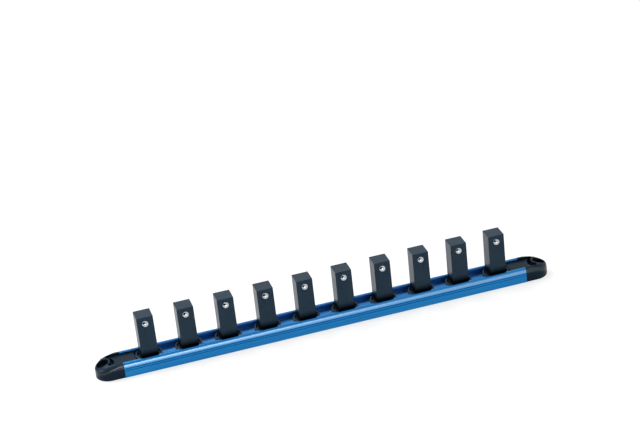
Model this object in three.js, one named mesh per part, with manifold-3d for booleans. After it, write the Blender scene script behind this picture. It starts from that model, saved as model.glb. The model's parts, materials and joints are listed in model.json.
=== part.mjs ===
// A rail for ten half-inch drive sockets.
// An extruded channel carries ten moulded clips that slide in its slot. Each clip is
// a square post with a sprung ball near its top, and a moulded cap closes each end.
// Millimetres, +Z up. The rail runs along X, the balls face -Y, and the origin lies
// at the middle of the underside.

import * as THREE from 'three';
import * as BufferGeometryUtils from 'three/addons/utils/BufferGeometryUtils.js';
import Module from 'manifold-3d';

const wasm = await Module();
wasm.setup();

// Running clearances
const slideGap = 0.3;
const seatGap = 0.3;

// Clip: foot, square neck and tapered square post
const clipCount = 10;
const postFootWidth = 12.7;
const postDraft = 0.1;
const postRise = 31.4;
const postCornerRadius = 0.4;
const postCrownChamfer = 0.25;
const neckLedge = 0.75;
const neckRise = 0.8;
const neckChamfer = 0.4;
const neckCornerRadius = 1.8;
const footMargin = 0.7;
const footHeadroom = 0.4;
const footChamfer = 0.3;
const footRimWidth = 1.0;
const footRecessDepth = 1.6;

// Ball detent in the front face of the post
const ballRadius = 3.0;
const ballDrop = 5.6;
const ballProud = 1.6;
const mouthLip = 0.15;
const mouthLand = 0.15;
const mouthTaper = 1.15;
const pocketGap = 0.2;
const pocketBackWall = 1.95;

// Spring behind the ball
const springTurns = 4;
const springInset = 0.7;
const springWire = 0.5;

// Rail: its slot takes the necks of the clips
const railLength = 312.6;
const railHeight = 11.8;
const railWall = 1.7;
const railShoulderWidth = 1.9;
const railShoulderHeight = 4.0;
const railLineWidth = 0.4;
const railLineDepth = 0.35;
const railBead = 1.3;
const railToe = 0.8;
const railCornerRadius = 0.5;
const lipOverhang = 1.6;
const lipThickness = 1.3;
const lipEdgeRadius = 0.35;
const channelDepth = 4.3;
const webThickness = 1.6;

// End cap: nose, falling crown and rounded shoulders
const capStraight = 9.2;
const capCrownStart = 4.0;
const capCrownFall = 4.7;
const capNoseShoulderWidth = 9.0;
const capNoseShoulderHeight = 3.8;
const capToe = 1.2;
const capWall = 1.9;
const capCoreDepth = 3.0;
const capCoreJointWall = 3.0;

// Hang hole, the ring round it and the crescent groove beside the ring
const hangHoleRadius = 4.65;
const hangHoleChamfer = 0.4;
const hangRingWall = 1.2;
const hangNoseWall = 1.35;
const grooveWidth = 2.8;
const grooveDepth = 5.2;
const grooveHornReach = 2.4;

// Tongue in the channel and the lower plug under the web
const tongueReach = 10.6;
const tongueHeadroom = 0.5;
const tongueCorner = 2.6;
const tongueBevel = 0.5;
const lowerPlugReach = 7.0;
const lowerPlugCorner = 1.0;

// Fineness of curves
const arcSteps = 2;
const shoulderSteps = 4;
const toeSteps = 2;
const noseStations = 10;
const bodyStations = 3;
const nosePoleShare = 0.955;
const shoulderLimitShare = 0.9;
const roundSides = 32;
const pocketSides = 20;
const ballSides = 16;
const ballBands = 10;
const springStepsPerTurn = 8;
const springSides = 5;

// Overrun of every cut past the face that it opens
const cutOverrun = 1.0;

// Widths across the rail, from the post outwards
const halfPostFoot = postFootWidth / 2;
const halfPostTop = halfPostFoot - postDraft;
const halfNeck = halfPostFoot + neckLedge;
const halfSlot = halfNeck + slideGap;
const halfChannel = halfSlot + lipOverhang;
const halfRail = halfChannel + railWall;
const halfFoot = halfChannel - slideGap;
const footRadius = (halfNeck - neckCornerRadius) * Math.SQRT2 + neckCornerRadius + footMargin;

// Levels, from the top of the rail
const lipUnderside = railHeight - lipThickness;
const channelFloor = lipUnderside - channelDepth;
const webUnderside = channelFloor - webThickness;
const upperLineTop = railHeight - railShoulderHeight;
const lowerLineTop = upperLineTop - railLineWidth - railBead;
const footBottom = channelFloor + slideGap;
const footTop = lipUnderside - footHeadroom;
const neckRoot = (footBottom + footTop) / 2;
const neckTop = footTop + neckRise;
const postTop = railHeight + postRise;

// The ball, its pocket and its spring
const ballHeight = postTop - ballDrop;
const postTaper = postDraft / postRise;
const halfPostAtBall = halfPostTop + postTaper * ballDrop;
const ballCentre = ballRadius - ballProud - halfPostAtBall;
const mouthRadius = ballRadius - mouthLip;
const pocketRadius = ballRadius + pocketGap;
const pocketDepth = 2 * halfPostAtBall - pocketBackWall;
const pocketEnd = pocketDepth - halfPostAtBall;
const springRadius = ballRadius - springInset;

// Places along the rail and in the cap
const clipEndStop = railLength / 2 - tongueReach - seatGap - footRadius;
const clipPitch = (2 * clipEndStop) / (clipCount - 1);
const capLength = capStraight + halfRail;
const hangHoleCentre = capLength - hangNoseWall - hangHoleRadius;
const hangRingRadius = hangHoleRadius + hangRingWall;
const grooveRadius = hangRingRadius + grooveWidth;
const tongueTop = lipUnderside - tongueHeadroom;

// Materials
const anodisedBlue = new THREE.MeshStandardMaterial({
  color: 0x1a66ac, roughness: 0.32, metalness: 0.85, flatShading: true,
});
const mouldedBlack = new THREE.MeshStandardMaterial({
  color: 0x232b31, roughness: 0.55, metalness: 0.0, flatShading: true,
});
const polishedSteel = new THREE.MeshStandardMaterial({
  color: 0xd8dcdf, roughness: 0.08, metalness: 1.0, flatShading: true,
});
const springSteel = new THREE.MeshStandardMaterial({
  color: 0x9a9da0, roughness: 0.3, metalness: 1.0, flatShading: true,
});

// Solids and boolean cuts

function toSolid(geometry) {
  const bare = geometry.clone();
  bare.deleteAttribute('normal');
  bare.deleteAttribute('uv');
  const merged = BufferGeometryUtils.mergeVertices(bare);
  const mesh = new wasm.Mesh({
    numProp: 3,
    vertProperties: merged.attributes.position.array,
    triVerts: Uint32Array.from(merged.index.array),
  });
  return new wasm.Manifold(mesh);
}

function toGeometry(solid) {
  const mesh = solid.getMesh();
  const geometry = new THREE.BufferGeometry();
  geometry.setAttribute('position', new THREE.BufferAttribute(mesh.vertProperties, 3));
  geometry.setIndex(new THREE.BufferAttribute(mesh.triVerts, 1));
  geometry.computeVertexNormals();
  return geometry;
}

// Outlines

// A closed outline through corners [x, y, radius], each rounded by its own arc.
function roundedShape(corners) {
  const shape = new THREE.Shape();
  corners.forEach(([x, y, radius], index) => {
    const corner = new THREE.Vector2(x, y);
    const [beforeX, beforeY] = corners.at(index - 1);
    const [afterX, afterY] = corners[(index + 1) % corners.length];
    const before = new THREE.Vector2(beforeX, beforeY).sub(corner).normalize();
    const after = new THREE.Vector2(afterX, afterY).sub(corner).normalize();
    const halfAngle = Math.acos(before.dot(after)) / 2;
    const reach = radius / Math.tan(halfAngle);
    const start = before.clone().multiplyScalar(reach).add(corner);
    const end = after.clone().multiplyScalar(reach).add(corner);
    if (index === 0) shape.moveTo(start.x, start.y);
    else shape.lineTo(start.x, start.y);
    if (radius > 0) {
      const bisector = before.clone().add(after).normalize();
      const centre = bisector.multiplyScalar(radius / Math.sin(halfAngle)).add(corner);
      const startAngle = Math.atan2(start.y - centre.y, start.x - centre.x);
      const endAngle = Math.atan2(end.y - centre.y, end.x - centre.x);
      const clockwise = before.cross(after) > 0;
      shape.absarc(centre.x, centre.y, radius, startAngle, endAngle, clockwise);
    }
  });
  shape.closePath();
  return shape;
}

// A quarter of an ellipse in Y and Z, from the side of a section up to its flat top.
function shoulderArc(halfWidth, top, width, height) {
  const arc = [];
  for (let step = 0; step <= shoulderSteps; step += 1) {
    const angle = (step / shoulderSteps) * (Math.PI / 2);
    arc.push([halfWidth - width * (1 - Math.cos(angle)), top - height * (1 - Math.sin(angle))]);
  }
  return arc;
}

// Extrudes an outline drawn in Y and Z along X.
function extrudeAlongX(shape, length) {
  const geometry = new THREE.ExtrudeGeometry(shape, {
    depth: length, bevelEnabled: false, curveSegments: arcSteps,
  });
  const turn = new THREE.Matrix4().makeBasis(
    new THREE.Vector3(0, 1, 0), new THREE.Vector3(0, 0, 1), new THREE.Vector3(1, 0, 0),
  );
  return geometry.applyMatrix4(turn).translate(-length / 2, 0, 0);
}

// Extrudes a plan outline drawn in X and Y from one level up to another.
function extrudeUp(shape, bottom, top, curveSegments = arcSteps) {
  const geometry = new THREE.ExtrudeGeometry(shape, {
    depth: top - bottom, bevelEnabled: false, curveSegments,
  });
  return geometry.translate(0, 0, bottom);
}

// Joins rings of equal point counts, in order, into one closed skin.
// Each ring runs counter-clockwise as seen from the ring after it.
function loftRings(rings) {
  const sides = rings[0].length;
  const points = rings.flat();
  const index = [];
  for (let ring = 0; ring < rings.length - 1; ring += 1) {
    for (let side = 0; side < sides; side += 1) {
      const next = (side + 1) % sides;
      const a = ring * sides + side;
      const b = ring * sides + next;
      const c = b + sides;
      const d = a + sides;
      index.push(a, b, c, a, c, d);
    }
  }
  const middle = (ring) => ring
    .reduce((sum, point) => sum.add(point), new THREE.Vector3())
    .divideScalar(sides);
  const firstMiddle = points.push(middle(rings[0])) - 1;
  const lastMiddle = points.push(middle(rings.at(-1))) - 1;
  const lastRing = (rings.length - 1) * sides;
  for (let side = 0; side < sides; side += 1) {
    const next = (side + 1) % sides;
    index.push(firstMiddle, next, side);
    index.push(lastMiddle, lastRing + side, lastRing + next);
  }
  const geometry = new THREE.BufferGeometry().setFromPoints(points);
  geometry.setIndex(index);
  return geometry;
}

// A disc of given radius between two levels, with its edges chamfered.
function chamferedDisc(radius, bottom, top, chamfer) {
  const profile = [
    new THREE.Vector2(0, bottom),
    new THREE.Vector2(radius - chamfer, bottom),
    new THREE.Vector2(radius, bottom + chamfer),
    new THREE.Vector2(radius, top - chamfer),
    new THREE.Vector2(radius - chamfer, top),
    new THREE.Vector2(0, top),
  ];
  return new THREE.LatheGeometry(profile, roundSides).rotateX(Math.PI / 2);
}

// Rail

// The corners of a fine line that the die leaves in the side, from its lower edge up.
function sideLine(top) {
  const bottom = top - railLineWidth;
  const floor = halfRail - railLineDepth;
  return [[halfRail, bottom], [floor, bottom], [floor, top], [halfRail, top]];
}

function railSection() {
  const shoulder = shoulderArc(halfRail, railHeight, railShoulderWidth, railShoulderHeight);
  const side = [...sideLine(lowerLineTop), ...sideLine(upperLineTop), ...shoulder.slice(1)];
  const half = [
    [halfChannel, webUnderside, railCornerRadius],
    [halfChannel, 0, 0],
    [halfRail, 0, railToe],
    ...side.map(([y, z]) => [y, z, 0]),
    [halfSlot, railHeight, lipEdgeRadius],
    [halfSlot, lipUnderside, lipEdgeRadius],
    [halfChannel, lipUnderside, railCornerRadius],
    [halfChannel, channelFloor, railCornerRadius],
  ];
  const otherHalf = half.map(([y, z, radius]) => [-y, z, radius]).reverse();
  return roundedShape([...half, ...otherHalf]);
}

function makeRail() {
  return extrudeAlongX(railSection(), railLength);
}

// Clip

// The foot is a disc with two flats that run along the walls of the channel. On either
// side of the neck its top is sunk, which leaves a crescent between neck and rim.
function makeFoot() {
  const disc = toSolid(chamferedDisc(footRadius, footBottom, footTop, footChamfer));
  const length = 2 * (footRadius + cutOverrun);
  const flats = new THREE.BoxGeometry(length, 2 * halfFoot, 2 * railHeight);
  const foot = disc.intersect(toSolid(flats));
  const recessRadius = footRadius - footRimWidth;
  const recessBottom = footTop - footRecessDepth;
  const recess = new THREE.CylinderGeometry(
    recessRadius, recessRadius, railHeight, roundSides,
  ).rotateX(Math.PI / 2).translate(0, 0, recessBottom + railHeight / 2);
  const straight = 2 * (halfNeck - neckCornerRadius);
  const besideNeck = new THREE.BoxGeometry(length, straight, 2 * railHeight);
  return foot.subtract(toSolid(recess).intersect(toSolid(besideNeck)));
}

function squareRing(halfWidth, cornerRadius, level) {
  const corners = [
    [halfWidth, -halfWidth, cornerRadius],
    [halfWidth, halfWidth, cornerRadius],
    [-halfWidth, halfWidth, cornerRadius],
    [-halfWidth, -halfWidth, cornerRadius],
  ];
  const outline = roundedShape(corners).extractPoints(arcSteps / 2).shape;
  return outline.map(({ x, y }) => new THREE.Vector3(x, y, level));
}

// The square neck rises through the slot, and the lips keep it from turning.
function makeNeck() {
  return toSolid(loftRings([
    squareRing(halfNeck, neckCornerRadius, neckRoot),
    squareRing(halfNeck, neckCornerRadius, neckTop - neckChamfer),
    squareRing(halfNeck - neckChamfer, neckCornerRadius, neckTop),
  ]));
}

function makePostBlank() {
  const crown = postTop - postCrownChamfer;
  const halfAt = (level) => halfPostTop + postTaper * (postTop - level);
  return toSolid(loftRings([
    squareRing(halfAt(neckRoot), postCornerRadius, neckRoot),
    squareRing(halfAt(crown), postCornerRadius, crown),
    squareRing(halfPostTop - postCrownChamfer, postCornerRadius, postTop),
  ]));
}

// The pocket narrows to a mouth that keeps the ball in.
function makeBallPocket() {
  const profile = [
    new THREE.Vector2(0, -cutOverrun),
    new THREE.Vector2(mouthRadius, -cutOverrun),
    new THREE.Vector2(mouthRadius, mouthLand),
    new THREE.Vector2(pocketRadius, mouthLand + mouthTaper),
    new THREE.Vector2(pocketRadius, pocketDepth),
    new THREE.Vector2(0, pocketDepth),
  ];
  const pocket = new THREE.LatheGeometry(profile, pocketSides);
  return toSolid(pocket.translate(0, -halfPostAtBall, ballHeight));
}

function makeClip() {
  const post = makeFoot().add(makeNeck()).add(makePostBlank());
  return toGeometry(post.subtract(makeBallPocket()));
}

function makeBall() {
  const ball = new THREE.SphereGeometry(ballRadius, ballSides, ballBands);
  return ball.translate(0, ballCentre, ballHeight);
}

// A coil from the back of the ball to the end of the pocket.
function makeSpring() {
  const wireRadius = springWire / 2;
  const contact = ballRadius + wireRadius + seatGap / 2;
  const start = ballCentre + Math.sqrt(contact ** 2 - springRadius ** 2);
  const end = pocketEnd - wireRadius - seatGap;
  class Coil extends THREE.Curve {
    getPoint(share, target = new THREE.Vector3()) {
      const angle = share * springTurns * 2 * Math.PI;
      const along = start + share * (end - start);
      return target.set(
        springRadius * Math.cos(angle), along, ballHeight + springRadius * Math.sin(angle),
      );
    }
  }
  const section = new THREE.Shape().absarc(0, 0, wireRadius, 0, 2 * Math.PI);
  const wire = new THREE.Shape(section.getSpacedPoints(springSides).slice(0, springSides));
  return new THREE.ExtrudeGeometry(wire, {
    steps: springTurns * springStepsPerTurn, extrudePath: new Coil(), bevelEnabled: false,
  });
}

// End cap, made at the right-hand end with the joint face at X = 0

function capHalfWidthAt(reach) {
  const past = Math.max(0, reach - capStraight);
  return Math.sqrt(halfRail ** 2 - past ** 2);
}

function capCrownShareAt(reach) {
  return Math.max(0, (reach - capCrownStart) / (capLength - capCrownStart));
}

function capTopAt(reach) {
  const share = capCrownShareAt(reach);
  return railHeight - capCrownFall * (1 - Math.sqrt(1 - share ** 2));
}

// One cross-section of the cap: flat underside, toe arcs, walls and shoulder arcs.
function capRing(reach) {
  const share = capCrownShareAt(reach);
  const half = capHalfWidthAt(reach);
  const top = capTopAt(reach);
  const limit = shoulderLimitShare * half;
  const toe = Math.min(capToe, limit);
  const shoulderWidth = Math.min(
    railShoulderWidth + share * (capNoseShoulderWidth - railShoulderWidth), limit,
  );
  const shoulderHeight = railShoulderHeight
    + share * (capNoseShoulderHeight - railShoulderHeight);
  const side = [];
  for (let step = 0; step <= toeSteps; step += 1) {
    const angle = (step / toeSteps) * (Math.PI / 2);
    side.push([half - toe * (1 - Math.sin(angle)), toe * (1 - Math.cos(angle))]);
  }
  side.push(...shoulderArc(half, top, shoulderWidth, shoulderHeight));
  const otherSide = side.map(([y, z]) => [-y, z]).reverse();
  return [...side, ...otherSide].map(([y, z]) => new THREE.Vector3(reach, y, z));
}

function makeCapBlank() {
  const reaches = [];
  for (let station = 0; station < bodyStations; station += 1) {
    const span = capStraight - seatGap;
    reaches.push(seatGap + (span * station) / bodyStations);
  }
  for (let station = 0; station <= noseStations; station += 1) {
    const angle = (station / noseStations) * nosePoleShare * (Math.PI / 2);
    reaches.push(capStraight + halfRail * Math.sin(angle));
  }
  return toSolid(loftRings(reaches.map(capRing)));
}

function hangHoleCylinder(radius, bottom, top) {
  const height = top - bottom;
  const cylinder = new THREE.CylinderGeometry(radius, radius, height, roundSides);
  return toSolid(cylinder.rotateX(Math.PI / 2)
    .translate(hangHoleCentre, 0, bottom + height / 2));
}

// The well between the rims of the cap, as wide as the rail's slot. It ends in the
// horns of a crescent groove that curves round the ring of the hang hole.
function makeWell() {
  const hornEnd = hangHoleCentre - hangRingRadius + grooveHornReach;
  const plan = roundedShape([
    [-cutOverrun, -halfSlot, 0],
    [hornEnd, -halfSlot, grooveWidth / 2],
    [hornEnd, halfSlot, grooveWidth / 2],
    [-cutOverrun, halfSlot, 0],
  ]);
  const bottom = railHeight - grooveDepth;
  const top = railHeight + cutOverrun;
  return toSolid(extrudeUp(plan, bottom, top))
    .subtract(hangHoleCylinder(hangRingRadius, bottom - cutOverrun, top + cutOverrun));
}

function chamferedPlan(start, end, halfWidth, corner) {
  const plan = new THREE.Shape();
  plan.moveTo(start + corner, -halfWidth);
  plan.lineTo(end, -halfWidth);
  plan.lineTo(end, halfWidth);
  plan.lineTo(start + corner, halfWidth);
  plan.lineTo(start, halfWidth - corner);
  plan.lineTo(start, corner - halfWidth);
  plan.closePath();
  return plan;
}

// The tongue lies in the slot and its end is the stop for the last clip.
function makeTongue() {
  const bottom = channelFloor + slideGap;
  const shoulder = tongueTop - tongueBevel;
  const body = toSolid(extrudeUp(
    chamferedPlan(-tongueReach, hangHoleCentre, halfFoot, tongueCorner), bottom, shoulder,
  ));
  const face = toSolid(extrudeUp(
    chamferedPlan(
      tongueBevel - tongueReach, hangHoleCentre, halfFoot - tongueBevel, tongueCorner,
    ),
    shoulder, tongueTop,
  ));
  const groove = hangHoleCylinder(grooveRadius, bottom - cutOverrun, railHeight);
  return body.add(face).subtract(groove);
}

// The lower plug fills the recess under the web.
function makeLowerPlug() {
  const plan = chamferedPlan(
    -lowerPlugReach, capWall, halfFoot, lowerPlugCorner,
  );
  return toSolid(extrudeUp(plan, slideGap, webUnderside - slideGap));
}

// The moulding is cored out from below between its outer wall and the hole's ring.
function makeCore() {
  const half = halfRail - capWall;
  const plan = new THREE.Shape();
  plan.moveTo(capCoreJointWall, -half);
  plan.lineTo(capStraight, -half);
  plan.absarc(capStraight, 0, half, -Math.PI / 2, Math.PI / 2, false);
  plan.lineTo(capCoreJointWall, half);
  plan.closePath();
  const core = toSolid(extrudeUp(plan, -cutOverrun, capCoreDepth, roundSides / 4));
  return core.subtract(hangHoleCylinder(hangRingRadius, -2 * cutOverrun, railHeight));
}

function makeHangHole() {
  const top = railHeight + cutOverrun;
  const profile = [
    new THREE.Vector2(0, -cutOverrun),
    new THREE.Vector2(hangHoleRadius + hangHoleChamfer + cutOverrun, -cutOverrun),
    new THREE.Vector2(hangHoleRadius, hangHoleChamfer),
    new THREE.Vector2(hangHoleRadius, top),
    new THREE.Vector2(0, top),
  ];
  const hole = new THREE.LatheGeometry(profile, roundSides).rotateX(Math.PI / 2);
  return toSolid(hole.translate(hangHoleCentre, 0, 0));
}

function makeEndCap() {
  const shell = makeCapBlank().subtract(makeWell()).subtract(makeCore());
  const cap = shell.add(makeTongue()).add(makeLowerPlug()).subtract(makeHangHole());
  return toGeometry(cap);
}

// Assembly

function namedMesh(name, geometry, material) {
  const mesh = new THREE.Mesh(geometry, material);
  mesh.name = name;
  return mesh;
}

const socketRail = new THREE.Group();
socketRail.add(namedMesh('rail', makeRail(), anodisedBlue));

const capGeometry = makeEndCap();
const capEnds = [
  { name: 'end_cap_left', place: -railLength / 2, turn: Math.PI },
  { name: 'end_cap_right', place: railLength / 2, turn: 0 },
];
for (const { name, place, turn } of capEnds) {
  const cap = namedMesh(name, capGeometry, mouldedBlack);
  cap.position.x = place;
  cap.rotation.z = turn;
  socketRail.add(cap);
}

const clipGeometry = makeClip();
const ballGeometry = makeBall();
const springGeometry = makeSpring();
for (let number = 1; number <= clipCount; number += 1) {
  const clip = new THREE.Group();
  clip.position.x = -clipEndStop + (number - 1) * clipPitch;
  clip.add(namedMesh(`clip_post_${number}`, clipGeometry, mouldedBlack));
  clip.add(namedMesh(`detent_ball_${number}`, ballGeometry, polishedSteel));
  clip.add(namedMesh(`detent_spring_${number}`, springGeometry, springSteel));
  socketRail.add(clip);
}

export default socketRail;
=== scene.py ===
# %% [markdown]
# # A rail for half-inch sockets
# The real object is an extruded aluminium channel, anodised blue, with ten moulded clips in
# its slot. Each clip is a square post with a sprung steel ball near its top, and a moulded
# cap closes each end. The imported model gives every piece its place. This lesson models each
# piece again with fine edges and gives it a finish, so that it looks like the real one.

# %% Load the frame
import json
import math
from contextlib import contextmanager

import bmesh
import bpy
from mathutils import Matrix, Vector

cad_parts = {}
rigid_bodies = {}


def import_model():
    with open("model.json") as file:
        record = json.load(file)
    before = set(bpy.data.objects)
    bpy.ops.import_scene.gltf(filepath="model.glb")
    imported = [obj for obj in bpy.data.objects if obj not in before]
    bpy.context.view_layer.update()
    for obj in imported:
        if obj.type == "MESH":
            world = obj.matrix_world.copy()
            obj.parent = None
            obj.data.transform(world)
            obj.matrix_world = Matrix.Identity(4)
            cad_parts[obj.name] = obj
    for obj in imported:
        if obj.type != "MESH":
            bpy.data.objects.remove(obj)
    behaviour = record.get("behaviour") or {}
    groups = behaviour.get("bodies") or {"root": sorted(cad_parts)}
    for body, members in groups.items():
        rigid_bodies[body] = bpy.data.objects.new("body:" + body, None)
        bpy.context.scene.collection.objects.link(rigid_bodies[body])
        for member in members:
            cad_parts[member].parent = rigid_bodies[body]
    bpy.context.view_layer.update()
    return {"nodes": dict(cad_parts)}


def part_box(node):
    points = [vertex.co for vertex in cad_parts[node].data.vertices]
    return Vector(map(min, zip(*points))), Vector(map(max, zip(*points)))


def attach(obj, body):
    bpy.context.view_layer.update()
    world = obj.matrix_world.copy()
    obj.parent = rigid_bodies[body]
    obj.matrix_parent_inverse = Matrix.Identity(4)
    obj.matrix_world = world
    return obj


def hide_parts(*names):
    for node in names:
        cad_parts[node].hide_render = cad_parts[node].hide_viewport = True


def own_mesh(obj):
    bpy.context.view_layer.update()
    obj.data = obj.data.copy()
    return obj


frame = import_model()
print("frame loaded,", len(frame["nodes"]), "nodes")

# %% [markdown]
# Blender works in metres and the product is drawn in millimetres, so one factor turns the
# sizes of the drawing into Blender's. The sizes below are the product's own.

# %% Sizes of the product
MM = 0.001

CLIP_COUNT = 10
POST_HALF_FOOT = 6.35 * MM
POST_DRAFT = 0.1 * MM
POST_RISE = 31.4 * MM
POST_CORNER = 0.4 * MM
POST_CROWN = 0.25 * MM
NECK_LEDGE = 0.75 * MM
NECK_RISE = 0.8 * MM
NECK_CORNER = 1.8 * MM
NECK_EDGE = 0.4 * MM
FOOT_RADIUS = 9.99 * MM
FOOT_EDGE = 0.3 * MM
FOOT_HEADROOM = 0.4 * MM
FOOT_RIM = 1.0 * MM
FOOT_RECESS = 1.6 * MM
RUNNING_GAP = 0.3 * MM

BALL_RADIUS = 3.0 * MM
BALL_DROP = 5.6 * MM
BALL_PROUD = 1.6 * MM
MOUTH_RADIUS = 2.85 * MM
MOUTH_LAND = 0.15 * MM
MOUTH_TAPER = 1.15 * MM
POCKET_RADIUS = 3.2 * MM
POCKET_BACK_WALL = 1.95 * MM
SPRING_RADIUS = 2.3 * MM
SPRING_WIRE = 0.25 * MM
SPRING_TURNS = 4
BALL_TRAVEL = 1.4 * MM

RAIL_LENGTH = 312.6 * MM
RAIL_HEIGHT = 11.8 * MM
RAIL_HALF = 10.7 * MM
RAIL_SHOULDER = (1.9 * MM, 4.0 * MM)
RAIL_LINE_WIDTH = 0.4 * MM
RAIL_LINE_DEPTH = 0.35 * MM
RAIL_BEAD = 1.3 * MM
RAIL_TOE = 0.8 * MM
SLOT_HALF = 7.4 * MM
CHANNEL_HALF = 9.0 * MM
LIP_UNDERSIDE = 10.5 * MM
CHANNEL_FLOOR = 6.2 * MM
WEB_UNDERSIDE = 4.6 * MM
INNER_CORNER = 0.5 * MM
LIP_EDGE = 0.35 * MM
LINE_EDGE = 0.06 * MM

CAP_STRAIGHT = 9.2 * MM
CAP_CROWN_START = 4.0 * MM
CAP_CROWN_FALL = 4.7 * MM
CAP_NOSE_SHOULDER = (9.0 * MM, 3.8 * MM)
CAP_TOE = 1.2 * MM
CAP_WALL = 1.9 * MM
CAP_CORE_DEPTH = 3.0 * MM
CAP_CORE_START = 3.0 * MM
HOLE_RADIUS = 4.65 * MM
HOLE_CHAMFER = 0.4 * MM
HOLE_PLACE = 13.9 * MM
RING_RADIUS = 5.85 * MM
GROOVE_WIDTH = 2.8 * MM
GROOVE_FLOOR = 6.6 * MM
GROOVE_REACH = 2.4 * MM
TONGUE_REACH = 10.6 * MM
TONGUE_TOP = 10.0 * MM
TONGUE_CORNER = 2.6 * MM
TONGUE_EDGE = 0.5 * MM
PLUG_REACH = 7.0 * MM
PLUG_CORNER = 1.0 * MM
JOINT_GAP = 0.1 * MM
CAP_LENGTH = CAP_STRAIGHT + RAIL_HALF

CLIP_BROKEN_EDGE = 0.1 * MM
CAP_BROKEN_EDGE = 0.14 * MM
SAWN_EDGE = 0.12 * MM
LEG_EDGE = 0.15 * MM

POST_TOP = RAIL_HEIGHT + POST_RISE
BALL_HEIGHT = POST_TOP - BALL_DROP
FOOT_BOTTOM = CHANNEL_FLOOR + RUNNING_GAP
FOOT_TOP = LIP_UNDERSIDE - FOOT_HEADROOM
HALF_FOOT = CHANNEL_HALF - RUNNING_GAP
POST_HALF_AT_BALL = POST_HALF_FOOT - POST_DRAFT * (1 - BALL_DROP / POST_RISE)

# %% [markdown]
# The camera stands where the photograph's camera stood: above the rail, in front of its left
# end, with a long lens. Its place was found by fitting the edges of the rail, the corners of
# the posts and the balls. The camera comes first, because it decides which details count.

# %% Camera
LENS_PIXELS = 1955.327
FRAME_WIDTH_PIXELS = 640
SENSOR_WIDTH = 36.0
CAMERA_YAW = 0.2405606
CAMERA_PITCH = 0.4676666
CAMERA_ROLL = -0.1115433
CAMERA_PLACE = (-0.29789876, -1.23092361, 0.73144512)
CAMERA_REACH = 20

forward = Vector((
    math.sin(CAMERA_YAW) * math.cos(CAMERA_PITCH),
    math.cos(CAMERA_YAW) * math.cos(CAMERA_PITCH),
    -math.sin(CAMERA_PITCH),
))
level_right = Vector((math.cos(CAMERA_YAW), -math.sin(CAMERA_YAW), 0))
level_up = level_right.cross(forward)
right = math.cos(CAMERA_ROLL) * level_right + math.sin(CAMERA_ROLL) * level_up
up = math.cos(CAMERA_ROLL) * level_up - math.sin(CAMERA_ROLL) * level_right

bpy.ops.object.camera_add(location=CAMERA_PLACE)
camera = bpy.context.object
camera.name = "studio_camera"
camera.rotation_euler = Matrix((right, up, -forward)).transposed().to_euler()
camera.data.sensor_width = SENSOR_WIDTH
camera.data.lens = LENS_PIXELS / FRAME_WIDTH_PIXELS * SENSOR_WIDTH
camera.data.clip_end = CAMERA_REACH
bpy.context.scene.camera = camera
print("camera lens", round(camera.data.lens, 1), "mm")

# %% [markdown]
# Modelling by hand means: add a primitive, go into edit mode, select some faces or edges, and
# use an operator on them. The helpers below do just that. `choose` selects by place or
# direction, which is how a reader would click on them in the window. The values say how fine
# a round form is, how near two places must be to count as one, and how far a cutting tool
# runs past the face that it opens.

# %% Modelling helpers
ROUND_SIDES = 96
FOOT_SIDES = 128
POCKET_SIDES = 64
CORNER_STEPS = 8
EDGE_STEPS = 4
NEAR = 1e-6
MOSTLY = 0.9
OVERRUN = 1.0 * MM
SHARP_ANGLE = 35
RAIL_SHARP_ANGLE = 25


def select_only(piece):
    bpy.ops.object.select_all(action="DESELECT")
    piece.select_set(True)
    bpy.context.view_layer.objects.active = piece


@contextmanager
def edit_mode(piece, kind="FACE"):
    select_only(piece)
    bpy.ops.object.mode_set(mode="EDIT")
    bpy.ops.mesh.select_mode(type=kind)
    yield
    bpy.ops.object.mode_set(mode="OBJECT")


def choose(piece, kind, wanted):
    """Selects the vertices, edges or faces of a piece in edit mode for which wanted is true."""
    bpy.ops.mesh.select_mode(type=kind)
    bpy.ops.mesh.select_all(action="DESELECT")
    mesh = bmesh.from_edit_mesh(piece.data)
    for part in {"VERT": mesh.verts, "EDGE": mesh.edges, "FACE": mesh.faces}[kind]:
        if wanted(part):
            part.select_set(True)
    mesh.select_flush_mode()
    bmesh.update_edit_mesh(piece.data)


def upright(edge):
    step = edge.verts[1].co - edge.verts[0].co
    return abs(step.z) > MOSTLY * step.length


def middle(edge):
    return (edge.verts[0].co + edge.verts[1].co) / 2


def block(low, high):
    """A box between two corners."""
    low, high = Vector(low), Vector(high)
    bpy.ops.mesh.primitive_cube_add(size=1, location=(low + high) / 2, scale=high - low)
    return settle(bpy.context.object)


def settle(piece):
    """Puts the place, turn and scale of a new primitive into its mesh."""
    select_only(piece)
    bpy.ops.object.transform_apply(location=True, rotation=True, scale=True)
    return piece


def drum(radius, bottom, top, sides=ROUND_SIDES, centre=(0, 0)):
    """An upright cylinder."""
    bpy.ops.mesh.primitive_cylinder_add(
        vertices=sides, radius=radius, depth=top - bottom,
        location=(centre[0], centre[1], (bottom + top) / 2))
    return settle(bpy.context.object)


def finish_with(piece, kind, **settings):
    """Adds one modifier and applies it."""
    select_only(piece)
    modifier = piece.modifiers.new(kind.lower(), kind)
    for name, value in settings.items():
        setattr(modifier, name, value)
    bpy.ops.object.modifier_apply(modifier=modifier.name)
    return piece


def combine(piece, other, operation):
    """Joins or cuts a piece with another, which is used up."""
    finish_with(piece, "BOOLEAN", object=other, operation=operation, solver="EXACT")
    bpy.data.objects.remove(other)
    return piece


def smooth_shade(piece, angle):
    """Shades curves smoothly, while the normals of large flat faces stay straight."""
    select_only(piece)
    bpy.ops.object.shade_smooth_by_angle(angle=math.radians(angle))
    return finish_with(piece, "WEIGHTED_NORMAL", weight=100, keep_sharp=True)


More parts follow.
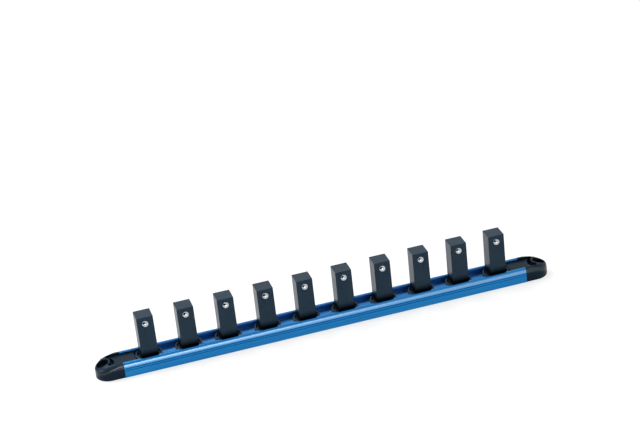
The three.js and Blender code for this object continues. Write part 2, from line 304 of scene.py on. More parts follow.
def soften(piece, width):
    """Breaks every sharp edge a little, as tools and moulds do."""
    finish_with(
        piece, "BEVEL", width=width, segments=2, limit_method="ANGLE",
        angle_limit=math.radians(SHARP_ANGLE), miter_outer="MITER_ARC")
    return smooth_shade(piece, SHARP_ANGLE)


def copy_of(piece, name, place):
    """A copy with its own mesh, moved by a matrix that goes into the mesh."""
    twin = bpy.data.objects.new(name, piece.data.copy())
    twin.data.transform(place)
    twin.data.name = name
    bpy.context.scene.collection.objects.link(twin)
    return twin


def drawn_outline(corners):
    """A flat face in Y and Z, drawn corner by corner by extruding one vertex.

    Each corner is (y, z, radius), and its radius is bevelled on afterwards.
    """
    bpy.ops.mesh.primitive_plane_add(size=MM)
    outline = bpy.context.object
    with edit_mode(outline, "VERT"):
        bpy.ops.mesh.select_all(action="SELECT")
        bpy.ops.mesh.merge(type="CENTER")
        bpy.ops.transform.translate(value=(0, corners[0][0], corners[0][1]))
        for (y, z, _), (next_y, next_z, _) in zip(corners, corners[1:]):
            bpy.ops.mesh.extrude_region_move(
                TRANSFORM_OT_translate={"value": (0, next_y - y, next_z - z)})
        bpy.ops.mesh.select_all(action="SELECT")
        bpy.ops.mesh.edge_face_add()
        for y, z, radius in corners:
            if radius > 0:
                corner = Vector((0, y, z))
                choose(outline, "VERT", lambda vertex: (vertex.co - corner).length < NEAR)
                bpy.ops.mesh.bevel(offset=radius, segments=CORNER_STEPS, affect="VERTICES")
    return outline

# %% [markdown]
# ## The rail
# The real rail is extruded: hot aluminium is pushed through a die, so every section along it
# is the same. The way to model it is the same too. The section is drawn once, corner by
# corner, its corners are rounded, and the face is extruded along X. The two cut ends get a
# tiny bevel where the saw burr was taken off.

# %% Rail
SHOULDER_POINTS = 12


def line_corners(top):
    """The four corners of a fine line pressed into the side, from its lower edge up."""
    bottom = top - RAIL_LINE_WIDTH
    inner = RAIL_HALF - RAIL_LINE_DEPTH
    return [
        (RAIL_HALF, bottom, LINE_EDGE), (inner, bottom, 0),
        (inner, top, 0), (RAIL_HALF, top, LINE_EDGE)]


def shoulder_corners():
    """A quarter of an ellipse from the side up to the flat top."""
    width, height = RAIL_SHOULDER
    corners = []
    for step in range(1, SHOULDER_POINTS + 1):
        turn = step / SHOULDER_POINTS * math.pi / 2
        corners.append((
            RAIL_HALF - width * (1 - math.cos(turn)),
            RAIL_HEIGHT - height * (1 - math.sin(turn)), 0))
    return corners


def rail_corners():
    upper_line = RAIL_HEIGHT - RAIL_SHOULDER[1]
    lower_line = upper_line - RAIL_LINE_WIDTH - RAIL_BEAD
    half = [
        (CHANNEL_HALF, WEB_UNDERSIDE, INNER_CORNER),
        (CHANNEL_HALF, 0, LEG_EDGE),
        (RAIL_HALF, 0, RAIL_TOE),
        *line_corners(lower_line),
        *line_corners(upper_line),
        *shoulder_corners(),
        (SLOT_HALF, RAIL_HEIGHT, LIP_EDGE),
        (SLOT_HALF, LIP_UNDERSIDE, LIP_EDGE),
        (CHANNEL_HALF, LIP_UNDERSIDE, INNER_CORNER),
        (CHANNEL_HALF, CHANNEL_FLOOR, INNER_CORNER),
    ]
    return half + [(-y, z, radius) for y, z, radius in reversed(half)]


def make_rail():
    rail = drawn_outline(rail_corners())
    with edit_mode(rail, "FACE"):
        bpy.ops.mesh.select_all(action="SELECT")
        bpy.ops.transform.translate(value=(-RAIL_LENGTH / 2, 0, 0))
        bpy.ops.mesh.extrude_region_move(
            TRANSFORM_OT_translate={"value": (RAIL_LENGTH, 0, 0)})
        bpy.ops.mesh.select_all(action="SELECT")
        bpy.ops.mesh.normals_make_consistent(inside=False)
        choose(rail, "EDGE", lambda edge: abs(middle(edge).x) > RAIL_LENGTH / 2 - NEAR)
        bpy.ops.mesh.bevel(offset=SAWN_EDGE, segments=1, affect="EDGES")
    rail.name = "extruded_rail"
    return smooth_shade(rail, RAIL_SHARP_ANGLE)


rail = make_rail()
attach(rail, "rail")
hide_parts("rail")
print("rail", len(rail.data.polygons), "faces")

# %% [markdown]
# ## The clips
# A clip is one moulding. Its foot is a disc that runs under the lips of the rail. The top of
# the foot is sunk on both sides of the neck, which saves plastic and leaves a thin rim. The
# square neck fills the slot, and the post tapers a little so that it leaves the mould. The
# three are made from a cylinder and two cubes, shaped in edit mode and joined into one solid.

# %% Clip blank
def make_foot():
    foot = drum(FOOT_RADIUS, FOOT_BOTTOM, FOOT_TOP, FOOT_SIDES)
    with edit_mode(foot, "EDGE"):
        choose(foot, "EDGE", lambda edge: not upright(edge))
        bpy.ops.mesh.bevel(offset=FOOT_EDGE, segments=EDGE_STEPS, affect="EDGES")
        for side in (-1, 1):
            bpy.ops.mesh.select_all(action="SELECT")
            bpy.ops.mesh.bisect(
                plane_co=(0, side * HALF_FOOT, 0), plane_no=(0, side, 0),
                use_fill=True, clear_outer=True)
    sunk = drum(
        FOOT_RADIUS - FOOT_RIM, FOOT_TOP - FOOT_RECESS, FOOT_TOP + OVERRUN, FOOT_SIDES)
    straight = POST_HALF_FOOT + NECK_LEDGE - NECK_CORNER
    band = block((-FOOT_RADIUS, -straight, 0), (FOOT_RADIUS, straight, RAIL_HEIGHT + OVERRUN))
    return combine(foot, combine(sunk, band, "INTERSECT"), "DIFFERENCE")


def make_neck():
    half = POST_HALF_FOOT + NECK_LEDGE
    root = (FOOT_BOTTOM + FOOT_TOP) / 2
    neck = block((-half, -half, root), (half, half, FOOT_TOP + NECK_RISE))
    with edit_mode(neck, "EDGE"):
        choose(neck, "EDGE", upright)
        bpy.ops.mesh.bevel(offset=NECK_CORNER, segments=CORNER_STEPS, affect="EDGES")
        choose(neck, "EDGE", lambda edge: middle(edge).z > FOOT_TOP + NECK_RISE - NEAR)
        bpy.ops.mesh.bevel(offset=NECK_EDGE, segments=EDGE_STEPS, affect="EDGES")
    return neck


def make_post():
    root = (FOOT_BOTTOM + FOOT_TOP) / 2
    rise = POST_TOP - root
    half = POST_HALF_FOOT + POST_DRAFT * (RAIL_HEIGHT - root) / POST_RISE
    post = block((-half, -half, root), (half, half, POST_TOP))
    top_half = POST_HALF_FOOT - POST_DRAFT
    with edit_mode(post, "FACE"):
        choose(post, "FACE", lambda face: face.normal.z > MOSTLY)
        bpy.ops.transform.resize(value=(top_half / half, top_half / half, 1))
        choose(post, "EDGE", upright)
        bpy.ops.mesh.bevel(offset=POST_CORNER, segments=EDGE_STEPS, affect="EDGES")
        choose(post, "EDGE", lambda edge: middle(edge).z > POST_TOP - NEAR)
        bpy.ops.mesh.bevel(offset=POST_CROWN, segments=EDGE_STEPS, affect="EDGES")
    print("post", round(rise / MM, 1), "mm tall")
    return post


clip = combine(combine(make_foot(), make_neck(), "UNION"), make_post(), "UNION")
print("clip blank", len(clip.data.polygons), "faces")

# %% [markdown]
# The pocket is drilled from the front. A small lip at its mouth keeps the ball in, so the
# cutting tool is a cylinder whose front end is drawn in to the mouth and then carried on
# out of the post.

# %% Ball pocket
def make_pocket_tool():
    front = -POST_HALF_AT_BALL
    start = MOUTH_LAND + MOUTH_TAPER
    depth = 2 * POST_HALF_AT_BALL - POCKET_BACK_WALL
    bpy.ops.mesh.primitive_cylinder_add(
        vertices=POCKET_SIDES, radius=POCKET_RADIUS, depth=depth - start,
        location=(0, front + (start + depth) / 2, BALL_HEIGHT),
        rotation=(math.pi / 2, 0, 0))
    tool = settle(bpy.context.object)
    with edit_mode(tool, "FACE"):
        choose(tool, "FACE", lambda face: face.normal.y < -MOSTLY)
        share = MOUTH_RADIUS / POCKET_RADIUS
        bpy.ops.mesh.extrude_region_move(
            TRANSFORM_OT_translate={"value": (0, -MOUTH_TAPER, 0)})
        bpy.ops.transform.resize(value=(share, 1, share))
        bpy.ops.mesh.extrude_region_move(
            TRANSFORM_OT_translate={"value": (0, -MOUTH_LAND - OVERRUN, 0)})
    return tool


combine(clip, make_pocket_tool(), "DIFFERENCE")
soften(clip, CLIP_BROKEN_EDGE)
print("clip", len(clip.data.polygons), "faces")

# %% [markdown]
# The ball is rolled steel. A cube that is subdivided and then drawn to a sphere has even
# faces all round and no poles, so its reflections stay clean. The spring behind it is wound
# from a small circle with the Screw modifier, as a coiling machine winds wire.

# %% Ball and spring
BALL_CUTS = 17
WIRE_SIDES = 12
SPRING_STEPS = 28 * SPRING_TURNS


def make_ball():
    place = (0, BALL_RADIUS - BALL_PROUD - POST_HALF_AT_BALL, BALL_HEIGHT)
    bpy.ops.mesh.primitive_cube_add(size=BALL_RADIUS, location=place)
    ball = bpy.context.object
    with edit_mode(ball, "FACE"):
        bpy.ops.mesh.select_all(action="SELECT")
        bpy.ops.mesh.subdivide(number_cuts=BALL_CUTS)
        bpy.ops.transform.tosphere(value=1.0)
    settle(ball)
    centre = Vector(place)
    for vertex in ball.data.vertices:
        vertex.co = centre + (vertex.co - centre).normalized() * BALL_RADIUS
    ball.data.shade_smooth()
    return ball


def make_spring():
    pocket_end = POST_HALF_AT_BALL - POCKET_BACK_WALL
    ball_centre = BALL_RADIUS - BALL_PROUD - POST_HALF_AT_BALL
    contact = BALL_RADIUS + SPRING_WIRE + RUNNING_GAP / 2
    start = ball_centre + math.sqrt(contact ** 2 - SPRING_RADIUS ** 2)
    reach = pocket_end - SPRING_WIRE - RUNNING_GAP - start
    bpy.ops.mesh.primitive_circle_add(
        vertices=WIRE_SIDES, radius=SPRING_WIRE, location=(SPRING_RADIUS, 0, 0))
    spring = settle(bpy.context.object)
    finish_with(
        spring, "SCREW", axis="Y", angle=2 * math.pi * SPRING_TURNS, screw_offset=reach,
        iterations=1, steps=SPRING_STEPS, render_steps=SPRING_STEPS)
    with edit_mode(spring, "EDGE"):
        bpy.ops.mesh.select_all(action="DESELECT")
        bpy.ops.mesh.select_non_manifold()
        bpy.ops.mesh.edge_face_add()
        bpy.ops.mesh.select_all(action="SELECT")
        bpy.ops.mesh.normals_make_consistent(inside=False)
    spring.data.transform(Matrix.Translation((0, start, BALL_HEIGHT)))
    spring.data.shade_smooth()
    return spring


ball = make_ball()
spring = make_spring()
print("ball", len(ball.data.polygons), "faces, spring", len(spring.data.polygons), "faces")

# %% [markdown]
# One clip, one ball and one spring are enough to model. The frame says where each of the ten
# stands, so a copy of each is moved there and rides on its own body.

for number in range(1, CLIP_COUNT + 1):
    low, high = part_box(f"clip_post_{number}")
    place = Matrix.Translation(((low.x + high.x) / 2, 0, 0))
    one_clip = copy_of(clip, f"socket_clip_{number}", place)
    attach(one_clip, f"clip_{number}")
    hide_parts(f"clip_post_{number}")
    one_ball = copy_of(ball, f"steel_ball_{number}", place)
    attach(one_ball, f"ball_{number}")
    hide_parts(f"detent_ball_{number}")
    one_spring = copy_of(spring, f"coil_spring_{number}", place)
    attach(one_spring, f"clip_{number}")
    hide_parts(f"detent_spring_{number}")
    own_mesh(one_spring)
for master in (clip, ball, spring):
    bpy.data.objects.remove(master)
print("copied", CLIP_COUNT, "clips, balls and springs")

# %% [markdown]
# ## The end caps
# The cap starts as wide and as high as the rail. Toward its round nose the top falls and the
# shoulders grow, so it can't be one primitive with a bevel. It is lofted instead: a ring of
# vertices is set for each section, and the rings are bridged. A ring at distance `reach` from
# the joint has a flat underside, a rounded toe, a side, an elliptic shoulder and a flat top.

# %% Cap blank
TOE_STEPS = 6
SHOULDER_STEPS = 14
STRAIGHT_SECTIONS = 8
NOSE_SECTIONS = 30
NOSE_POLE_SHARE = 0.955
ROUNDING_LIMIT_SHARE = 0.9


def cap_section(reach):
    past = max(0.0, reach - CAP_STRAIGHT)
    half = math.sqrt(RAIL_HALF ** 2 - past ** 2)
    share = max(0.0, (reach - CAP_CROWN_START) / (CAP_LENGTH - CAP_CROWN_START))
    top = RAIL_HEIGHT - CAP_CROWN_FALL * (1 - math.sqrt(1 - share ** 2))
    limit = ROUNDING_LIMIT_SHARE * half
    toe = min(CAP_TOE, limit)
    width, height = [
        first + share * (last - first)
        for first, last in zip(RAIL_SHOULDER, CAP_NOSE_SHOULDER)]
    width = min(width, limit)
    side = []
    for step in range(TOE_STEPS + 1):
        turn = step / TOE_STEPS * math.pi / 2
        side.append((half - toe * (1 - math.sin(turn)), toe * (1 - math.cos(turn))))
    for step in range(SHOULDER_STEPS + 1):
        turn = step / SHOULDER_STEPS * math.pi / 2
        side.append((half - width * (1 - math.cos(turn)), top - height * (1 - math.sin(turn))))
    return side + [(-y, z) for y, z in reversed(side)]


def cap_reaches():
    straight = [
        JOINT_GAP + (CAP_STRAIGHT - JOINT_GAP) * step / STRAIGHT_SECTIONS
        for step in range(STRAIGHT_SECTIONS)]
    nose = [
        CAP_STRAIGHT
        + RAIL_HALF * math.sin(step / NOSE_SECTIONS * NOSE_POLE_SHARE * math.pi / 2)
        for step in range(NOSE_SECTIONS + 1)]
    return straight + nose


def make_cap_blank():
    """Rings of vertices, one for each section, bridged into one skin."""
    sections = [(reach, cap_section(reach)) for reach in cap_reaches()]
    bpy.ops.mesh.primitive_circle_add(vertices=len(sections[0][1]), radius=RAIL_HALF)
    blank = bpy.context.object
    with edit_mode(blank, "VERT"):
        bpy.ops.mesh.select_all(action="SELECT")
        for _ in sections[1:]:
            bpy.ops.mesh.extrude_region_move(TRANSFORM_OT_translate={"value": (0, 0, MM)})
        mesh = bmesh.from_edit_mesh(blank.data)
        mesh.verts.ensure_lookup_table()
        count = len(sections[0][1])
        for number, (reach, section) in enumerate(sections):
            for place, (y, z) in enumerate(section):
                mesh.verts[number * count + place].co = (reach, y, z)
        bmesh.update_edit_mesh(blank.data)
        for end in (sections[0][0], sections[-1][0]):
            choose(blank, "VERT", lambda vertex: abs(vertex.co.x - end) < NEAR)
            bpy.ops.mesh.edge_face_add()
        bpy.ops.mesh.select_all(action="SELECT")
        bpy.ops.mesh.normals_make_consistent(inside=False)
    return blank


cap = make_cap_blank()
print("cap blank", len(cap.data.polygons), "faces")

# %% [markdown]
# The cap is then cut and joined as a mould would form it. A well as wide as the slot carries
# the channel on into the cap. It stops at a thin ring round the hanging hole, and a crescent
# groove is left between the ring and the tongue that reaches into the rail.

# %% Cap details
def flat_plate(start, end, half, corner, bottom, top):
    """A plate with its two corners cut off at the end that lies nearest the clips."""
    plate = block((start, -half, bottom), (end, half, top))
    with edit_mode(plate, "EDGE"):
        choose(plate, "EDGE", lambda edge: upright(edge) and middle(edge).x < start + NEAR)
        bpy.ops.mesh.bevel(offset=corner, segments=1, affect="EDGES")
    return plate


def make_well():
    end = HOLE_PLACE - RING_RADIUS + GROOVE_REACH
    well = block((-OVERRUN, -SLOT_HALF, GROOVE_FLOOR), (end, SLOT_HALF, RAIL_HEIGHT + OVERRUN))
    with edit_mode(well, "EDGE"):
        choose(well, "EDGE", lambda edge: upright(edge) and middle(edge).x > end - NEAR)
        bpy.ops.mesh.bevel(offset=GROOVE_WIDTH / 2, segments=CORNER_STEPS, affect="EDGES")
    ring = drum(RING_RADIUS, -OVERRUN, RAIL_HEIGHT + 2 * OVERRUN, centre=(HOLE_PLACE, 0))
    return combine(well, ring, "DIFFERENCE")


def make_tongue():
    tongue = flat_plate(
        -TONGUE_REACH, HOLE_PLACE, HALF_FOOT, TONGUE_CORNER, FOOT_BOTTOM, TONGUE_TOP)
    with edit_mode(tongue, "EDGE"):
        choose(tongue, "EDGE", lambda edge: middle(edge).z > TONGUE_TOP - NEAR)
        bpy.ops.mesh.bevel(offset=TONGUE_EDGE, segments=EDGE_STEPS, affect="EDGES")
    groove = drum(RING_RADIUS + GROOVE_WIDTH, 0, RAIL_HEIGHT, centre=(HOLE_PLACE, 0))
    return combine(tongue, groove, "DIFFERENCE")


def make_core():
    half = RAIL_HALF - CAP_WALL
    core = block((CAP_CORE_START, -half, -OVERRUN), (CAP_STRAIGHT, half, CAP_CORE_DEPTH))
    nose = drum(half, -OVERRUN, CAP_CORE_DEPTH, centre=(CAP_STRAIGHT, 0))
    ring = drum(RING_RADIUS, -2 * OVERRUN, RAIL_HEIGHT, centre=(HOLE_PLACE, 0))
    return combine(combine(core, nose, "UNION"), ring, "DIFFERENCE")


def make_hole():
    hole = drum(HOLE_RADIUS, HOLE_CHAMFER, RAIL_HEIGHT + OVERRUN, centre=(HOLE_PLACE, 0))
    share = 1 + (HOLE_CHAMFER + OVERRUN) / HOLE_RADIUS
    with edit_mode(hole, "FACE"):
        choose(hole, "FACE", lambda face: face.normal.z < -MOSTLY)
        bpy.ops.mesh.extrude_region_move(
            TRANSFORM_OT_translate={"value": (0, 0, -HOLE_CHAMFER - OVERRUN)})
        bpy.ops.transform.resize(
            value=(share, share, 1), center_override=(HOLE_PLACE, 0, -OVERRUN))
    return hole


combine(cap, make_well(), "DIFFERENCE")
combine(cap, make_core(), "DIFFERENCE")
combine(cap, make_tongue(), "UNION")
combine(cap, flat_plate(
    -PLUG_REACH, CAP_WALL, HALF_FOOT, PLUG_CORNER, RUNNING_GAP,
    WEB_UNDERSIDE - RUNNING_GAP), "UNION")
combine(cap, make_hole(), "DIFFERENCE")
soften(cap, CAP_BROKEN_EDGE)
print("cap", len(cap.data.polygons), "faces")

# %% [markdown]
# Both caps come from one mould. The right one moves to its end of the rail, and the left one
# is also turned half round.

# %% Place the caps
for side, turn in (("left", math.pi), ("right", 0)):
    place = Matrix.Rotation(turn, 4, "Z") @ Matrix.Translation((RAIL_LENGTH / 2, 0, 0))
    one_cap = copy_of(cap, f"moulded_cap_{side}", place)
    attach(one_cap, "rail")
    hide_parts(f"end_cap_{side}")
bpy.data.objects.remove(cap)
print("placed 2 caps")

# %% [markdown]
# ## Finishes
# Shader maths reads best as a formula, so one small class wraps a socket and lets Python's
# own signs add the Math nodes. Every other node comes from one method, for the materials and
# the sky alike. All patterns read Object coordinates, in metres, so they stay on the piece
# when it moves.

# %% Shader helpers
class Value:
    """The output of a node. Python's signs between two values add a Math node."""

    def __init__(self, nodes, socket):
        self.nodes = nodes
        self.socket = socket

    def __add__(self, other):
        return self.nodes.maths("ADD", self, other)

    def __rsub__(self, other):
        return self.nodes.maths("SUBTRACT", other, self)

    def __mul__(self, other):
        return self.nodes.maths("MULTIPLY", self, other)

    def __rmul__(self, other):
        return self.nodes.maths("MULTIPLY", other, self)


class Nodes:
    """A node tree, emptied and built again node by node."""

    def __init__(self, tree, output):
        self.tree = tree
        self.tree.nodes.clear()
        self.output = self.tree.nodes.new(output)

    def node(self, kind, settings=None, sockets=None, out=0):
        new = self.tree.nodes.new(kind)
        for name, value in (settings or {}).items():
            setattr(new, name, value)
        for name, value in (sockets or {}).items():
            if isinstance(value, Value):
                self.tree.links.new(value.socket, new.inputs[name])
            else:
                new.inputs[name].default_value = value
        return Value(self, new.outputs[out])

    def maths(self, operation, first, second):
        return self.node("ShaderNodeMath", {"operation": operation}, {0: first, 1: second})

    def between(self, value, low, high, to_low=0.0, to_high=1.0):
        """Maps the range low to high onto another range, and stops at its ends."""
        return self.node(
            "ShaderNodeMapRange", {"clamp": True}, {
                "Value": value, "From Min": low, "From Max": high,
                "To Min": to_low, "To Max": to_high})

    def mix(self, share, first, second):
        return self.node(
            "ShaderNodeMix", {"data_type": "RGBA"}, {0: share, 6: first, 7: second}, out=2)

    def blend(self, share, first, second):
        return self.node("ShaderNodeMixShader", {}, {0: share, 1: first, 2: second})

    def ray(self, kind):
        """1 while a ray of this kind is traced, and 0 for any other."""
        return self.node("ShaderNodeLightPath", out=f"Is {kind} Ray")

    def show(self, shader):
        self.tree.links.new(shader.socket, self.output.inputs["Surface"])


class Finish(Nodes):
    """A material, with patterns in Object coordinates."""

    def __init__(self, name):
        self.material = bpy.data.materials.new(name)
        self.material.use_nodes = True
        super().__init__(self.material.node_tree, "ShaderNodeOutputMaterial")

    def object_place(self):
        return self.node("ShaderNodeTexCoord", out="Object")

    def axis(self, letter):
        return self.node("ShaderNodeSeparateXYZ", {}, {0: self.object_place()}, out=letter)

    def noise(self, repeats, detail, roughness=0.55):
        """A noise with so many repeats in each metre along X, Y and Z.

        Nearly all of it lies between 0.3 and 0.7.
        """
        place = self.node(
            "ShaderNodeMapping", {}, {"Vector": self.object_place(), "Scale": repeats})
        return self.node("ShaderNodeTexNoise", {}, {
            "Vector": place, "Scale": 1.0, "Detail": detail, "Roughness": roughness})

    def bump(self, height, distance, strength):
        return self.node("ShaderNodeBump", {}, {
            "Height": height, "Distance": distance, "Strength": strength})

    def shader(self, **sockets):
        named = {name.replace("_", " "): value for name, value in sockets.items()}
        return self.node("ShaderNodeBsdfPrincipled", {}, named)

    def done(self, shader):
        self.show(shader)
        return self.material


def paint(prefix, material):
    """Gives a material to every object whose name starts with the prefix."""
    count = 0
    for piece in bpy.data.objects:
        if piece.type == "MESH" and piece.name.startswith(prefix):
            piece.data.materials.clear()
            piece.data.materials.append(material)
            piece.data.update()
            count += 1
    print(material.name, "on", count)

# %% [markdown]
# The rail is anodised. Dye sits in a thin clear layer of oxide over the bare metal, so it is
# a coloured metal with fine lines along the rail, which the die drew there. The rounded
# shoulders get a clear coat and a paler blue. The paler blue is a painted highlight on top of
# the line that the lamps draw. The inside of the channel is rougher, and its lighter blue is
# painted light.

# %% Anodised blue
DEEP_BLUE = (0.0085, 0.148, 0.395, 1)
FULL_BLUE = (0.0160, 0.215, 0.520, 1)
# Pale blue of the painted highlight along the shoulders
PAINTED_HIGHLIGHT_BLUE = (0.130, 0.300, 0.525, 1)
# Lighter blue of the painted light inside the channel
PAINTED_CHANNEL_LIGHT = (0.070, 0.270, 0.600, 1)

# Repeats of each pattern in a metre along X, Y and Z
FINE_DIE_LINES = (12, 2600, 2600)
WIDE_DIE_LINES = (4, 420, 420)
DYE_CLOUDS = (38, 60, 60)

RAIL_ROUGHNESS = (0.12, 0.24)
RAIL_COAT = (0.12, 1.0)
SHOULDER_ROUGHER = 0.18
CHANNEL_ROUGHER = 0.46

# Each pair is where a zone starts, and where it is fully reached
SHOULDER_FROM_BELOW = (8.1 * MM, 8.7 * MM)
SHOULDER_FROM_ABOVE = (11.4 * MM, 10.4 * MM)
SHOULDER_FROM_INSIDE = (9.6 * MM, 10.1 * MM)
CHANNEL_FROM_BELOW = (5.6 * MM, 5.9 * MM)
CHANNEL_FROM_ABOVE = (11.7 * MM, 11.5 * MM)
CHANNEL_FROM_OUTSIDE = (9.2 * MM, 9.1 * MM)


def squares(pair):
    return [distance ** 2 for distance in pair]


def anodised_blue():
    finish = Finish("anodised_blue")
    fine = finish.noise(FINE_DIE_LINES, detail=2)
    wide = finish.noise(WIDE_DIE_LINES, detail=3)
    cloud = finish.noise(DYE_CLOUDS, detail=4)
    lines = 0.55 * fine + 0.45 * wide
    height = finish.axis("Z")
    across = finish.axis("Y")
    across_squared = across * across
    shoulder = (
        finish.between(height, *SHOULDER_FROM_BELOW)
        * finish.between(height, *SHOULDER_FROM_ABOVE)
        * finish.between(across_squared, *squares(SHOULDER_FROM_INSIDE)))
    inside = (
        finish.between(height, *CHANNEL_FROM_ABOVE)
        * finish.between(height, *CHANNEL_FROM_BELOW)
        * finish.between(across_squared, *squares(CHANNEL_FROM_OUTSIDE)))
    tint = finish.mix(finish.between(lines, 0.36, 0.64), DEEP_BLUE, FULL_BLUE)
    streaked = finish.between(lines, 0.3, 0.7, 0.62, 1.0)
    # Painted highlight: the shoulders are mixed toward a pale blue
    tint = finish.mix(shoulder * streaked, tint, PAINTED_HIGHLIGHT_BLUE)
    # Painted light: the inside of the channel is mixed toward a lighter blue
    tint = finish.mix(inside, tint, PAINTED_CHANNEL_LIGHT)
    rough = (
        finish.between(lines * 0.7 + cloud * 0.3, 0.3, 0.7, *RAIL_ROUGHNESS)
        + shoulder * SHOULDER_ROUGHER + inside * CHANNEL_ROUGHER)
    return finish.done(finish.shader(
        Base_Color=tint, Metallic=1.0, Roughness=rough,
        Coat_Weight=finish.between(shoulder, 0, 1, *RAIL_COAT), Coat_Roughness=0.18,
        Normal=finish.bump(lines, 0.02 * MM, 0.35)))


paint("extruded_rail", anodised_blue())

# %% [markdown]
# The clips and caps are moulded in black nylon. Its skin is a fine satin: a faint grain from
# the spark-eroded mould, with slightly glossier flow marks. A low specular level keeps the
# front faces dark, while the sides still shine where they are seen at a flat angle. Round the
# root of the post a second shader is blended in by height. It is near black, rough and has
# almost no specular, as painted shade. The shoulders of the caps get a clear coat and a
# slightly paler colour, which is a painted highlight.

# %% Moulded black
NYLON_SHEEN = (0.42, 0.68, 1.0, 1)
CLIP_COLOURS = ((0.0090, 0.0180, 0.0280, 1), (0.0130, 0.0250, 0.0370, 1))
# Painted shade round the root of the post
ROOT_SHADE_COLOURS = ((0.0004, 0.0010, 0.0022, 1), (0.0012, 0.0024, 0.0044, 1))
CAP_COLOURS = ((0.0040, 0.0095, 0.0165, 1), (0.0070, 0.0150, 0.0250, 1))
# Paler colour of the painted highlight on the cap shoulders
CAP_HIGHLIGHT_COLOUR = (0.016, 0.024, 0.032, 1)

ROOT_FROM_ABOVE = (RAIL_HEIGHT + 5.5 * MM, RAIL_HEIGHT + 0.8 * MM)
ROOT_FROM_BELOW = (10.2 * MM, 10.6 * MM)
CAP_SHOULDER_FROM_BELOW = (7.2 * MM, 8.8 * MM)
CAP_SHOULDER_FROM_ABOVE = (11.8 * MM, 11.2 * MM)
CAP_SHOULDER_FROM_INSIDE = (9.0 * MM, 9.8 * MM)
CAP_CROWN_SLOPE = 0.4
CAP_HIGHLIGHT_FADE = 8.0 * MM

CLIP_GRAIN = (2600, 2600, 2600)
CAP_GRAIN = (2100, 2100, 2100)
FLOW_MARKS = (90, 90, 40)
WORN_SPOTS = (700, 700, 500)


class MouldedBlack(Finish):
    """Black nylon with two colours, a grain and the roughness of its glossiest spots."""

    def __init__(self, name, colours, grain, shine):
        super().__init__(name)
        grit = self.noise(grain, detail=3, roughness=0.6)
        flow = self.noise(FLOW_MARKS, detail=4)
        worn = self.noise(WORN_SPOTS, detail=2)
        self.grit = grit
        self.tint = self.mix(self.between(flow * 0.7 + grit * 0.3, 0.35, 0.68), *colours)
        self.rough = self.between(
            flow * 0.5 + grit * 0.3 + worn * 0.2, 0.35, 0.65, shine, shine + 0.14)
        self.skin = self.bump(grit + worn * 0.6, 0.03 * MM, 0.25)


def clip_black():
    """The post is satin. Round its root it gets painted shade: a near-black colour with almost
    no specular.
    """
    finish = MouldedBlack("moulded_black_clip", CLIP_COLOURS, CLIP_GRAIN, shine=0.24)
    height = finish.axis("Z")
    root = (
        finish.between(height, *ROOT_FROM_ABOVE) * finish.between(height, *ROOT_FROM_BELOW))
    satin = finish.shader(
        Base_Color=finish.tint, Roughness=finish.rough, Specular_IOR_Level=0.22,
        Specular_Tint=NYLON_SHEEN, Normal=finish.skin)
    # Painted shade: near the root, a near-black colour with almost no specular is blended in
    root_shade = finish.shader(
        Base_Color=finish.mix(finish.grit, *ROOT_SHADE_COLOURS), Roughness=0.55,
        Specular_IOR_Level=0.03, Specular_Tint=NYLON_SHEEN, Normal=finish.skin)
    return finish.done(finish.blend(root, satin, root_shade))


def cap_black():
    """The caps are the same nylon. Their shoulders get a paler colour as a painted highlight,
    and a clear coat.
    """
    finish = MouldedBlack("moulded_black_cap", CAP_COLOURS, CAP_GRAIN, shine=0.22)
    along = finish.axis("X")
    across = finish.axis("Y")
    nose = RAIL_LENGTH / 2 + CAP_STRAIGHT
    past = (
        finish.between(along, nose, nose + RAIL_HALF, 0, RAIL_HALF)
        + finish.between(along, -nose, -nose - RAIL_HALF, 0, RAIL_HALF))
    height = finish.axis("Z") + past * CAP_CROWN_SLOPE
    radius_squared = past * past + across * across
    shoulder = (
        finish.between(height, *CAP_SHOULDER_FROM_BELOW)
        * finish.between(height, *CAP_SHOULDER_FROM_ABOVE)
        * finish.between(radius_squared, *squares(CAP_SHOULDER_FROM_INSIDE)))
    # Painted highlight: the cap shoulders are mixed toward a paler colour, most near the joint
    shoulder_highlight = shoulder * finish.between(past, 0, CAP_HIGHLIGHT_FADE, 0.9, 0.4)
    return finish.done(finish.shader(
        Base_Color=finish.mix(shoulder_highlight, finish.tint, CAP_HIGHLIGHT_COLOUR), Roughness=finish.rough,
        Specular_IOR_Level=0.11, Specular_Tint=NYLON_SHEEN, Coat_Weight=shoulder_highlight * 0.7,
        Coat_Roughness=0.2, Normal=finish.skin))


paint("socket_clip", clip_black())
paint("moulded_cap", cap_black())

# %% [markdown]
# The balls are hardened and polished, with hair-fine scratches from the sockets that were
# pushed over them. The springs are drawn wire, with lines that run round the coil.

# %% Steel
BALL_COLOURS = ((0.44, 0.46, 0.48, 1), (0.56, 0.58, 0.60, 1))
WIRE_COLOURS = ((0.42, 0.43, 0.44, 1), (0.62, 0.63, 0.64, 1))
BALL_SCRATCHES = (900, 900, 9000)
BALL_HAZE = (700, 700, 700)
WIRE_LINES = (1500, 9000, 1500)


def polished_steel():
    finish = Finish("polished_ball_steel")
    scratch = finish.noise(BALL_SCRATCHES, detail=2)
    haze = finish.noise(BALL_HAZE, detail=3)
    return finish.done(finish.shader(
        Base_Color=finish.mix(finish.between(haze, 0.35, 0.7), *BALL_COLOURS), Metallic=1.0,
        Roughness=finish.between(haze * 0.6 + scratch * 0.4, 0.35, 0.65, 0.05, 0.14),
        Normal=finish.bump(scratch, 0.004 * MM, 0.2)))


def drawn_wire():
    finish = Finish("drawn_spring_wire")
    lines = finish.noise(WIRE_LINES, detail=2)
    return finish.done(finish.shader(
        Base_Color=finish.mix(finish.between(lines, 0.35, 0.65), *WIRE_COLOURS), Metallic=1.0,
        Roughness=finish.between(lines, 0.3, 0.7, 0.22, 0.38),
        Normal=finish.bump(lines, 0.01 * MM, 0.3)))


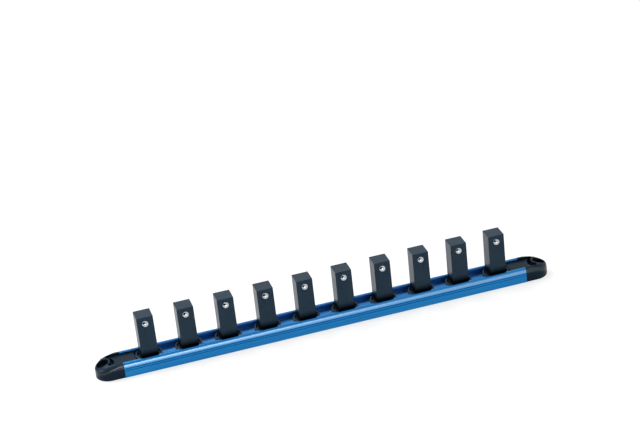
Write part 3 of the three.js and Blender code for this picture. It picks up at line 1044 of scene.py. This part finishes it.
paint("steel_ball", polished_steel())
paint("coil_spring", drawn_wire())

# %% [markdown]
# ## The studio
# The floor is a plain white sheet. To the camera and to reflections it is nearly white by
# itself, so the picture has a clean background, and part of its own light and shade stays, so
# the rail still casts a soft shadow on it.

# %% Floor
FLOOR_SIZE = 8
PAPER_WHITE = (0.88, 0.88, 0.88, 1)
BACKGROUND_SHARE = 0.72


def white_sheet():
    finish = Finish("white_sheet")
    seen = finish.maths("MAXIMUM", finish.ray("Camera"), finish.ray("Glossy"))
    seen = finish.maths("MAXIMUM", seen, finish.ray("Transmission"))
    paper = finish.node("ShaderNodeBsdfDiffuse", {}, {"Color": PAPER_WHITE})
    glow = finish.node("ShaderNodeEmission", {}, {"Strength": 1.0})
    return finish.done(finish.blend(seen * BACKGROUND_SHARE, paper, glow))


bpy.ops.mesh.primitive_plane_add(size=FLOOR_SIZE)
floor = bpy.context.object
floor.name = "studio_floor"
floor.data.materials.append(white_sheet())
print("floor", FLOOR_SIZE, "m wide")

# %% [markdown]
# Four soft boxes and a pale sky light the rail. The first hangs high behind it and lights the
# floor, the channel and the tops of the posts. The second stands on the left. Two low ones in
# front light the post faces and draw the bright line along the front shoulder. The right one
# of the two is small and dim, so the line fades toward that end. The sky is dark in one
# corner, low on the left in front, which is what the balls mirror as their dark spot. The
# camera itself sees a pale sky all round.

# %% Lights
# Name, place, aim, size and watts
SOFT_BOXES = [
    ("back_box", (-0.45, 0.40, 1.00), (0, 0, 0), (0.80, 0.70), 14),
    ("left_box", (-1.10, 0.25, 0.55), (0, 0, 0.02), (0.60, 0.60), 4),
    ("front_box", (-0.20, -1.70, 0.17), (0, 0, 0), (0.90, 0.30), 6.5),
    ("front_strip", (0.36, -1.70, 0.17), (0, 0, 0), (0.22, 0.30), 0.5),
]
PALE_SKY = (0.92, 0.95, 0.98, 1)
DARK_SKY = (0.015, 0.016, 0.018, 1)
DARK_SIDE = (-0.68, -0.68, 0.26)
DARK_SIDE_EDGE = (56, 44)

for name, place, aim, size, power in SOFT_BOXES:
    bpy.ops.object.light_add(type="AREA", location=place)
    lamp = bpy.context.object
    lamp.name = name
    lamp.data.shape = "RECTANGLE"
    lamp.data.size, lamp.data.size_y = size
    lamp.data.energy = power
    toward = Vector(aim) - Vector(place)
    lamp.rotation_euler = toward.to_track_quat("-Z", "Y").to_euler()

world = bpy.data.worlds.new("studio_sky")
world.use_nodes = True
bpy.context.scene.world = world
sky = Nodes(world.node_tree, "ShaderNodeOutputWorld")
direction = sky.node("ShaderNodeTexCoord", out="Generated")
facing = sky.node(
    "ShaderNodeVectorMath", {"operation": "DOT_PRODUCT"}, {0: direction, 1: DARK_SIDE},
    out="Value")
dark = sky.between(facing, *[math.cos(math.radians(angle)) for angle in DARK_SIDE_EDGE])
colour = sky.mix(dark * (1.0 - sky.ray("Camera")), PALE_SKY, DARK_SKY)
sky.show(sky.node("ShaderNodeBackground", {}, {"Color": colour, "Strength": 1.0}))
print("lit by", len(SOFT_BOXES), "soft boxes and a sky")

# %% [markdown]
# The picture uses the plain Standard view, so a colour looks as it is written.

# %% Finish
bpy.context.scene.view_settings.view_transform = "Standard"
